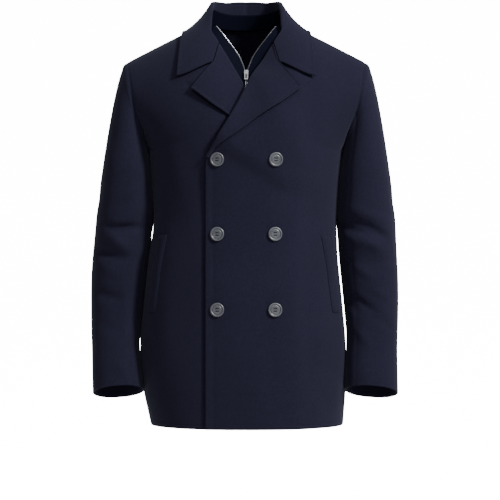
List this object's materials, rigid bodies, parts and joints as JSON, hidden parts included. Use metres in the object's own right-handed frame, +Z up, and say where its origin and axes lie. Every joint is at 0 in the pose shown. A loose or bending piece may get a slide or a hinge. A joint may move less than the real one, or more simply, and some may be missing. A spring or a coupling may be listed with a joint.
{
  "type": "pea coat",
  "caption": "Double-breasted wool pea coat in its hollow worn form, with notched lapels, turned-down collar, slanted welt pockets and a zip-in bib whose pull tab swings.",
  "frame": {"origin": "middle of the neck base, at the height of the centre back neck seam", "axes": "+Z up along the wearer, +X to the wearer's left, -Y to the front"},
  "size_m": [0.5999, 0.3004, 0.8303],
  "materials": {
    "wool": "matt felted wool melton",
    "bib": "matt dense knit",
    "button": "satin, horn-like",
    "zip": "polished nickel"
  },
  "bodies": {
    "coat": {"front_left": "wool", "front_right": "wool", "back_left": "wool", "back_right": "wool", "lapel_left": "wool", "lapel_right": "wool", "collar_leaf": "wool", "collar_stand": "wool", "sleeve_left_top": "wool", "sleeve_left_under": "wool", "sleeve_right_top": "wool", "sleeve_right_under": "wool", "pocket_welt_left": "wool", "pocket_welt_right": "wool", "bib_left": "bib", "bib_right": "bib", "bib_band": "bib", "button_1": "button", "button_2": "button", "button_3": "button", "button_4": "button", "button_5": "button", "button_6": "button", "zip_slider": "zip"},
    "pull": {"zip_pull": "zip"}
  },
  "joints": [
    {"name": "pull_swing", "type": "hinge", "parent": "coat", "child": "pull", "pos_m": [0, -0.08454, -0.08914], "axis": [-1, 0, 0], "range_deg": [0, 165]}
  ]
}
